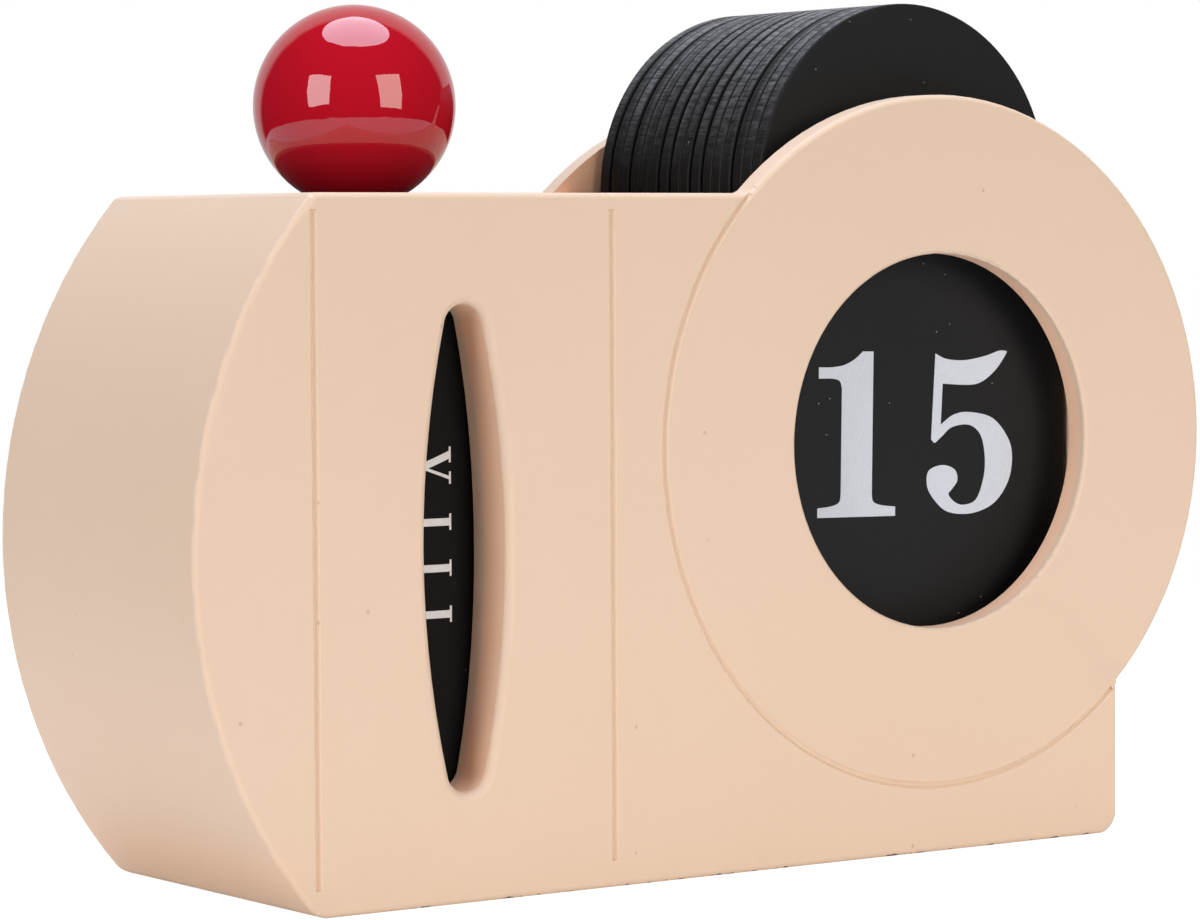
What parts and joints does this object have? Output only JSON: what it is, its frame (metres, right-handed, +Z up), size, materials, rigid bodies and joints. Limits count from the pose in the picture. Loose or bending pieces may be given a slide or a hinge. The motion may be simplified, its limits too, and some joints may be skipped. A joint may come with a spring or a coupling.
{
  "type": "perpetual desk calendar",
  "caption": "Painted wooden perpetual calendar shaped like a compact camera: day cards stand behind a round window, and a ball knob turns a month roller behind an oval slot.",
  "frame": {"origin": "middle of the footprint, on the table", "axes": "+X to the right along the front, +Y from the front to the back, +Z up"},
  "size_m": [0.1868, 0.0572, 0.1316],
  "materials": {
    "painted_wood": "matte peach-beige paint",
    "black_wood": "turned, painted matte black",
    "black_sleeve": "matte black with light print",
    "spindle_steel": "bright drawn",
    "washer_nylon": "natural",
    "red_lacquer": "high-gloss red lacquer",
    "card_black": "matte black, machined edges, light grey print"
  },
  "bodies": {
    "case": {"front_panel": "painted_wood", "front_core": "painted_wood", "rear_core": "painted_wood", "back_panel": "painted_wood", "thrust_washer": "washer_nylon"},
    "month_drum": {"month_roller": "black_wood", "month_sleeve": "black_sleeve", "spindle": "spindle_steel", "knob": "red_lacquer"},
    "card_01": {"day_card_01": "card_black"},
    "card_02": {"day_card_02": "card_black"},
    "card_03": {"day_card_03": "card_black"},
    "card_04": {"day_card_04": "card_black"},
    "card_05": {"day_card_05": "card_black"},
    "card_06": {"day_card_06": "card_black"},
    "card_07": {"day_card_07": "card_black"},
    "card_08": {"day_card_08": "card_black"},
    "card_09": {"day_card_09": "card_black"},
    "card_10": {"day_card_10": "card_black"},
    "card_11": {"day_card_11": "card_black"},
    "card_12": {"day_card_12": "card_black"},
    "card_13": {"day_card_13": "card_black"},
    "card_14": {"day_card_14": "card_black"},
    "card_15": {"day_card_15": "card_black"},
    "card_16": {"day_card_16": "card_black"}
  },
  "joints": [
    {"name": "month_turn", "type": "hinge", "parent": "case", "child": "month_drum", "pos_m": [-0.04825, 0.0012, 0.05], "axis": [0, 0, 1], "continuous": true},
    {"name": "day_card_01_lift", "type": "slide", "parent": "case", "child": "card_01", "axis": [0, 0, 1], "range_m": [0, 0.095]},
    {"name": "day_card_02_lift", "type": "slide", "parent": "case", "child": "card_02", "axis": [0, 0, 1], "range_m": [0, 0.095]},
    {"name": "day_card_03_lift", "type": "slide", "parent": "case", "child": "card_03", "axis": [0, 0, 1], "range_m": [0, 0.095]},
    {"name": "day_card_04_lift", "type": "slide", "parent": "case", "child": "card_04", "axis": [0, 0, 1], "range_m": [0, 0.095]},
    {"name": "day_card_05_lift", "type": "slide", "parent": "case", "child": "card_05", "axis": [0, 0, 1], "range_m": [0, 0.095]},
    {"name": "day_card_06_lift", "type": "slide", "parent": "case", "child": "card_06", "axis": [0, 0, 1], "range_m": [0, 0.095]},
    {"name": "day_card_07_lift", "type": "slide", "parent": "case", "child": "card_07", "axis": [0, 0, 1], "range_m": [0, 0.095]},
    {"name": "day_card_08_lift", "type": "slide", "parent": "case", "child": "card_08", "axis": [0, 0, 1], "range_m": [0, 0.095]},
    {"name": "day_card_09_lift", "type": "slide", "parent": "case", "child": "card_09", "axis": [0, 0, 1], "range_m": [0, 0.095]},
    {"name": "day_card_10_lift", "type": "slide", "parent": "case", "child": "card_10", "axis": [0, 0, 1], "range_m": [0, 0.095]},
    {"name": "day_card_11_lift", "type": "slide", "parent": "case", "child": "card_11", "axis": [0, 0, 1], "range_m": [0, 0.095]},
    {"name": "day_card_12_lift", "type": "slide", "parent": "case", "child": "card_12", "axis": [0, 0, 1], "range_m": [0, 0.095]},
    {"name": "day_card_13_lift", "type": "slide", "parent": "case", "child": "card_13", "axis": [0, 0, 1], "range_m": [0, 0.095]},
    {"name": "day_card_14_lift", "type": "slide", "parent": "case", "child": "card_14", "axis": [0, 0, 1], "range_m": [0, 0.095]},
    {"name": "day_card_15_lift", "type": "slide", "parent": "case", "child": "card_15", "axis": [0, 0, 1], "range_m": [0, 0.095]},
    {"name": "day_card_16_lift", "type": "slide", "parent": "case", "child": "card_16", "axis": [0, 0, 1], "range_m": [0, 0.095]}
  ]
}
